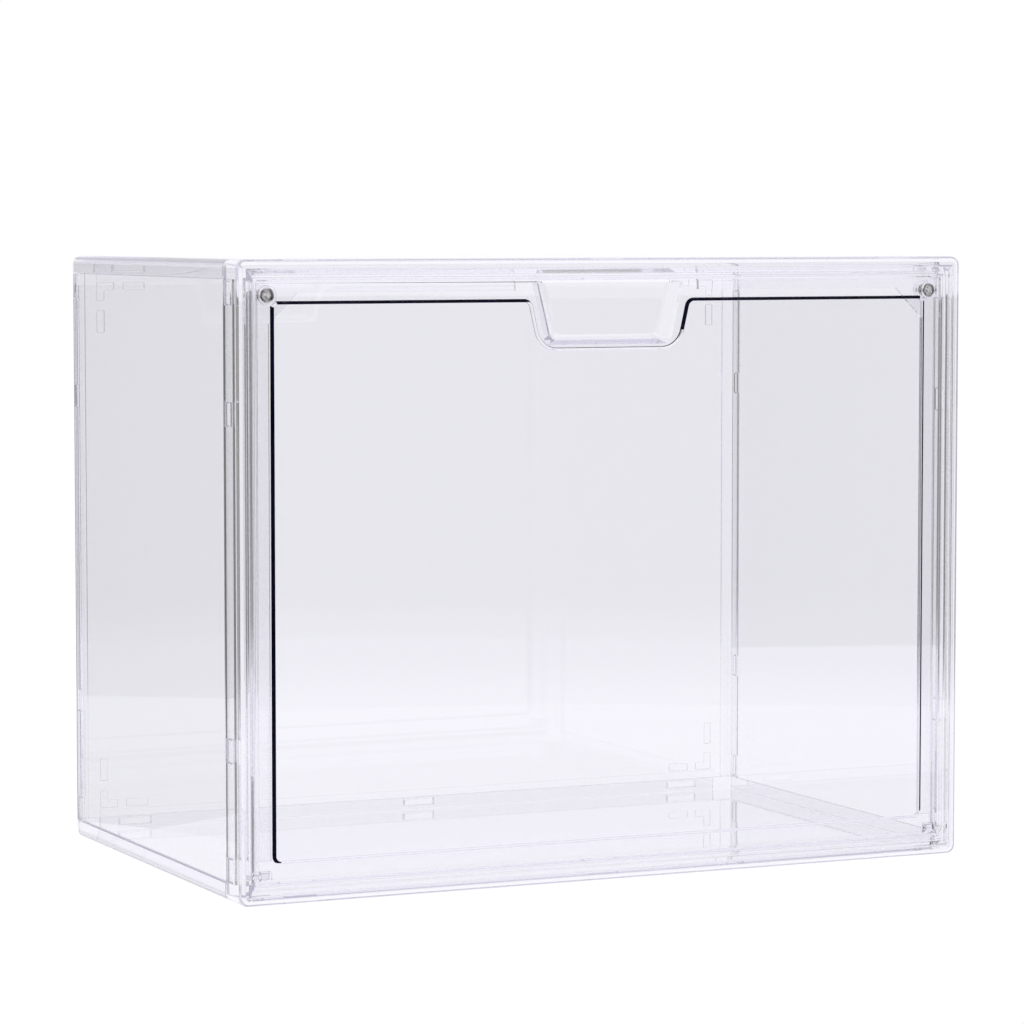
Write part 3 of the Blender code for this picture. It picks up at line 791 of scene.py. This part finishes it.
def make_back_panel(plastic):
    def is_round(middle):
        return abs(middle.y - BACK) < GAP and abs(abs(middle.x) - HALF) < GAP

    low, high = RAIL + GAP, HEIGHT - RAIL - GAP
    block = rounded_block((-HALF, BACK - RAIL, low), (HALF, BACK, high), is_round)
    obj = mesh_object("clear_back_panel", block)
    inner, field = HALF - SKIRT, HALF - RAIL
    front = BACK - RAIL - PAST
    hollow = boxes(
        ((-inner, front, low - PAST), (inner, BACK - BACK_FACE[1], high + PAST)),
        ((-field, BACK - BACK_FACE[0], low - PAST), (field, BACK + PAST, high + PAST)),
    )
    tongues, hooks = bmesh.new(), bmesh.new()
    near, far = BACK - TONGUE_IN, BACK - TONGUE_OUT
    for is_top in (False, True):
        start, end = PLATE + GAP, RAIL + TONGUE_REACH
        hook = REAR_HOOK
        if is_top:
            start, end = HEIGHT - start, HEIGHT - end
            hook = [HEIGHT - inset for inset in REAR_HOOK]
        add_box(tongues, (-TONGUE_HALF, near, start), (TONGUE_HALF, far, end))
        for x in HOOKS_X:
            low_corner = (x - HOOK_X_HALF, near + BITE, hook[0])
            add_box(hooks, low_corner, (x + HOOK_X_HALF, BACK - HOOK_TIP, hook[1]))
    windows = bmesh.new()
    half = HOOK_Z_HALF + WINDOW_MARGIN
    far, near = (BACK - inset for inset in REAR_WINDOW)
    for z in HOOKS_Z:
        for side in (-1, 1):
            deep, past = side * (HALF - SKIRT - GAP), side * (HALF + PAST)
            add_box(windows, (deep, near, z - half), (past, far, z + half))
    steps = [("D", hollow), ("U", tongues), ("U", hooks), ("D", windows), ("U", back_marks())]
    apply_tools(obj, steps)
    finish_piece(obj, plastic, "case", "back_panel")


def make_side_panel(name, node, plastic, side):
    def at(inset):
        return side * (HALF - inset)

    front, back = FRONT + FRAME_DEPTH + GAP, BACK - RAIL - GAP
    low, high = RAIL + GAP, HEIGHT - RAIL - GAP
    obj = mesh_object(name, boxes(((at(SIDE_FACE[0]), front, low), (at(SIDE_FACE[1]), back, high))))
    foot, rear, tip = PLATE + GAP, BACK - BACK_FACE[1] - GAP, FRONT + FRONT_TONGUE
    corners = [
        (front, foot), (rear, foot), (rear, HEIGHT - foot), (front, HEIGHT - foot),
        (front, high - BITE), (tip, high - BITE), (tip, low + BITE), (front, low + BITE),
    ]
    tongue = bmesh.new()
    near, far = at(TONGUE_OUT), at(SIDE_FACE[1] - BITE)
    add_prism(tongue, [(near, y, z) for y, z in corners], [(far, y, z) for y, z in corners])
    hooks = bmesh.new()
    front_hook = [FRONT + depth for depth in FRONT_HOOK]
    rear_hook = [BACK - inset for inset in REAR_HOOK]
    for depths in (front_hook, rear_hook):
        for z in HOOKS_Z:
            low_corner = (at(HOOK_TIP), depths[0], z - HOOK_Z_HALF)
            add_box(hooks, low_corner, (at(SIDE_FACE[1] - 2 * BITE), depths[1], z + HOOK_Z_HALF))
    apply_tools(obj, [("U", tongue), ("U", hooks)])
    finish_piece(obj, plastic, "case", node)


# ---------------------------------------------------------------- door

def door_shell():
    """One thin moulding: a flat flange, and inside it the raised field with its step."""
    soft = FLANGE_ROUND
    top_arc = arc_loops(door_outline, (soft, FLANGE[0] + soft), soft, -90, -180)
    rear_arc = arc_loops(door_outline, (soft, FLANGE[1] - soft), soft, 180, 90)
    toe = arc_loops(field_outline, (-FIELD_TOE, FLANGE[0] - FIELD_TOE), FIELD_TOE, 90, 0)
    crown_centre = (FIELD_ROUND, FIELD[0] + FIELD_ROUND)
    crown = arc_loops(field_outline, crown_centre, FIELD_ROUND, 180, 270, ARC_STEPS)
    lip = arc_loops(field_outline, (FIELD_WALL - FILLET, FLANGE[1] - FILLET), FILLET, 90, 0)
    root = arc_loops(field_outline, (FIELD_WALL + soft, FIELD[1] + soft), soft, 180, 270)
    bm = bmesh.new()
    rim = add_loops(bm, top_arc + rear_arc)
    front = add_loops(bm, toe + crown)
    back = add_loops(bm, lip + root)
    fill_between(bm, rim[0], front[0])
    fill_between(bm, front[-1])
    fill_between(bm, rim[-1], back[0])
    fill_between(bm, back[-1])
    return bm


def dish_body():
    top = HEIGHT - DOOR_SIDE - DISH_SETBACK
    start = sum(FLANGE) / 2
    bm = bmesh.new()
    mouth = dish_outline(DISH_MOUTH, top, DISH_WALL)
    floor = dish_outline(DISH_FLOOR, top, DISH_WALL)
    add_loft(bm, [(mouth, start), (mouth, FLANGE[1]), (floor, DISH_DEPTH[1])])
    return bm


def dish_hollow():
    top = HEIGHT - DOOR_SIDE + PAST
    bm = bmesh.new()
    mouth = dish_outline(DISH_MOUTH, top)
    floor = dish_outline(DISH_FLOOR, top)
    add_loft(bm, [(mouth, FIELD[0] - PAST), (mouth, FLANGE[0]), (floor, DISH_DEPTH[0])])
    return bm


def gets_painted_shade(centre):
    """Whether a face of the door is on its field's step and gets the painted shade, which stands for the
    dark where light from behind is trapped.
    """
    x, depth, z = centre.x, centre.y - FRONT, centre.z
    if not FIELD[0] + EDGE_SKIN < depth < FLANGE[0] - EDGE_SKIN:
        return False
    side, width = HALF - FIELD_SIDE, abs(x)
    notch_top, notch_foot, notch_height, _ = NOTCH
    magnet_reach = SCALLOP + BITE

    sides_start, sides_end = FIELD_FOOT + FIELD_CORNER, MAGNET_HEIGHT - magnet_reach
    on_side = side - FIELD_ROUND < width < side + FIELD_TOE and sides_start < z < sides_end
    in_corner = x < FIELD_CORNER - side and FIELD_FOOT + CORNER_FROM < z < sides_start
    past_notch = notch_top < width < HALF - MAGNET_SIDE - magnet_reach
    if on_side or in_corner or (past_notch and z > FIELD_TOP - FIELD_ROUND):
        return True
    in_notch = notch_height - FIELD_TOE < z < FIELD_TOP and width <= notch_top + NOTCH_SHOULDER
    on_slope = x > notch_foot and z > notch_height + SLOPE_FROM
    return in_notch and (depth > THIN_FROM or on_slope)


def make_door(plastic, dark):
    obj = mesh_object("clear_door", door_shell())
    bosses = (DOOR_BOSS_FRONT, sum(FLANGE) / 2, BOSS_RADIUS)
    knuckles = (DOOR_SIDE + BITE, KNUCKLE_END, KNUCKLE_RADIUS)
    pockets = (DOOR_MAGNET[0] - GAP, FLANGE[1] + PAST, MAGNET_RADIUS + GAP)
    holes = (DOOR_SIDE - PAST, PIN[1] + GAP, PIN_RADIUS + PIN_PLAY)
    steps = [
        ("U", dish_body()), ("D", dish_hollow()), ("U", corner_cylinders(bosses, knuckles)),
        ("D", corner_cylinders(pockets, holes)),
    ]
    apply_tools(obj, steps)
    finish_piece(obj, plastic, "door", "door")
    # the faces on the field's step get the painted shade material, face by face
    obj.data.materials.append(dark)
    for face in obj.data.polygons:
        face.material_index = int(gets_painted_shade(face.center))


# ---------------------------------------------------------------- magnets and pins

def make_turned(name, node, body, material, profile):
    """A disc or pin in its CAD node's box, with the same (radius, depth) profile at both ends."""
    low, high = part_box(node)
    size = high - low
    # its axis is the side that differs most from the other two
    axis = max(range(3), key=lambda i: abs(size[i] - sorted(size)[1]))
    side, other = (axis + 1) % 3, (axis + 2) % 3
    centre = (low + high) / 2
    stations = [(radius, low[axis] + depth) for radius, depth in profile]
    stations += [(radius, high[axis] - depth) for radius, depth in reversed(profile)]
    bm = bmesh.new()
    rings = []
    for radius, place in stations:
        ring = []
        for k in range(ROUND_SIDES):
            turn = math.tau * k / ROUND_SIDES
            point = Vector(centre)
            point[axis] = place
            point[side] += radius * math.cos(turn)
            point[other] += radius * math.sin(turn)
            ring.append(bm.verts.new(point))
        rings.append(ring)
    for first, second in zip(rings, rings[1:]):
        bridge(bm, first, second)
    bm.faces.new(rings[0])
    bm.faces.new(rings[-1])
    obj = mesh_object(name, bm)
    finish_piece(obj, material, body, node, bevel=0)


def rounded_rim(radius):
    """Profile points of a rim from its flat end to its side."""
    points = []
    for k in range(FILLET_STEPS + 1):
        turn = math.pi / 2 * k / FILLET_STEPS
        inset, depth = RIM_ROUND * (1 - math.sin(turn)), RIM_ROUND * (1 - math.cos(turn))
        points.append((radius - inset, depth))
    return points


# ---------------------------------------------------------------- camera, floor and light

def make_camera():
    data = bpy.data.cameras.new("camera")
    data.lens = CAMERA_LENS
    data.sensor_width = CAMERA_SENSOR
    data.clip_end = CAMERA_END
    camera = bpy.data.objects.new("camera", data)
    camera.location = CAMERA_PLACE
    camera.rotation_euler = (math.radians(CAMERA_TILT), 0, math.radians(CAMERA_TURN))
    bpy.context.scene.collection.objects.link(camera)
    bpy.context.scene.camera = camera


def make_floor():
    """A pale light table that is brightest round the box."""
    bm = bmesh.new()
    bmesh.ops.create_grid(bm, x_segments=1, y_segments=1, size=TABLE_SIZE)
    floor = mesh_object("floor", bm)
    floor.location.z = cad_low.z - TABLE_DROP
    material = bpy.data.materials.new("light_table")
    n = Nodes(material)
    reach = n.length(n.add("ShaderNodeTexCoord").outputs["Object"])
    n.glow(WHITE, n.spread(reach, TABLE_FADE, TABLE_GLOW, "SMOOTHSTEP"))
    floor.data.materials.append(material)


def grey(value):
    return (value, value, value * GREY_BLUE, 1)


def bent_strip(span, first, second):
    """A strip round the box between two lines, each a (radius, height)."""
    bm = bmesh.new()
    lines = []
    for radius, height in (first, second):
        line = []
        for k in range(ROUND_SIDES + 1):
            turn = math.radians(span[0] + (span[1] - span[0]) * k / ROUND_SIDES)
            line.append(bm.verts.new((radius * math.sin(turn), radius * math.cos(turn), height)))
        lines.append(line)
    near, far = lines
    for k in range(ROUND_SIDES):
        bm.faces.new((near[k], near[k + 1], far[k + 1], far[k]))
    return bm


def hide_from(obj, *rays):
    for ray in rays:
        setattr(obj, f"visible_{ray}", False)


def make_card(name, span, top, greys):
    """A low card that only reflections and views through the plastic show, paler at its foot."""
    card = mesh_object(name, bent_strip(span, (CARD_RADIUS, 0), (CARD_RADIUS, top)))
    material = bpy.data.materials.new(name)
    n = Nodes(material)
    place = n.add("ShaderNodeTexCoord").outputs["Object"]
    height = n.add("ShaderNodeSeparateXYZ", {0: place}).outputs["Z"]
    fade = n.spread(height, (0.0, CARD_FADE), (0.0, 1.0), "SMOOTHSTEP")
    n.glow(n.blend(fade, *(grey(value) for value in greys)))
    card.data.materials.append(material)
    hide_from(card, "camera", "diffuse", "shadow")


def make_mat(name, span, value):
    """A grey sector of the table in front of a card, which only reflections show."""
    mat = mesh_object(name, bent_strip(span, (MAT_START, 0), (CARD_RADIUS, 0)))
    material = bpy.data.materials.new(name)
    Nodes(material).glow(grey(value))
    mat.data.materials.append(material)
    hide_from(mat, "camera", "diffuse", "shadow", "transmission")


def make_world():
    world = bpy.data.worlds.new("studio")
    bpy.context.scene.world = world
    n = Nodes(world)
    back = n.add("ShaderNodeBackground", {"Color": WHITE, "Strength": WORLD_GLOW})
    n.add("ShaderNodeOutputWorld", {"Surface": back.outputs[0]})


def set_look():
    scene = bpy.context.scene
    scene.view_settings.view_transform = "Standard"
    scene.cycles.max_bounces = BOUNCES
    scene.cycles.transmission_bounces = BOUNCES
    scene.cycles.glossy_bounces = BOUNCES
    scene.cycles.transparent_max_bounces = CLEAR_BOUNCES


# ---------------------------------------------------------------- the scene

case_plastic = clear_plastic("clear_plastic_look", shift=0.0)
door_plastic = clear_plastic("door_plastic_look", shift=DOOR_SHIFT)
magnet_metal = nickel("nickel_look")

make_front_frame(case_plastic)
make_tray("clear_top_panel", "top_panel", case_plastic, is_top=True)
make_tray("clear_bottom_panel", "bottom_panel", case_plastic, is_top=False)
make_back_panel(case_plastic)
make_side_panel("clear_left_panel", "left_panel", case_plastic, -1)
make_side_panel("clear_right_panel", "right_panel", case_plastic, 1)
make_door(door_plastic, painted_shade_edge("deep_edge_look"))

disc_profile = [*DISC_HOLLOW, *rounded_rim(MAGNET_RADIUS)]
pin_profile = rounded_rim(PIN_RADIUS)
for word in ("left", "right"):
    for owner, body in (("door", "door"), ("frame", "case")):
        node = f"{owner}_magnet_{word}"
        make_turned(f"nickel_{node}", node, body, magnet_metal, disc_profile)
    node = f"hinge_pin_{word}"
    make_turned(f"clear_{node}", node, "door", case_plastic, pin_profile)

make_camera()
make_floor()
make_card("front_card", FRONT_SPAN, FRONT_HEIGHT, FRONT_GREYS)
make_card("side_card", SIDE_SPAN, SIDE_HEIGHT, SIDE_GREYS)
make_mat("front_mat", FRONT_SPAN, FRONT_MAT)
make_mat("side_mat", SIDE_SPAN, SIDE_MAT)
make_world()
set_look()
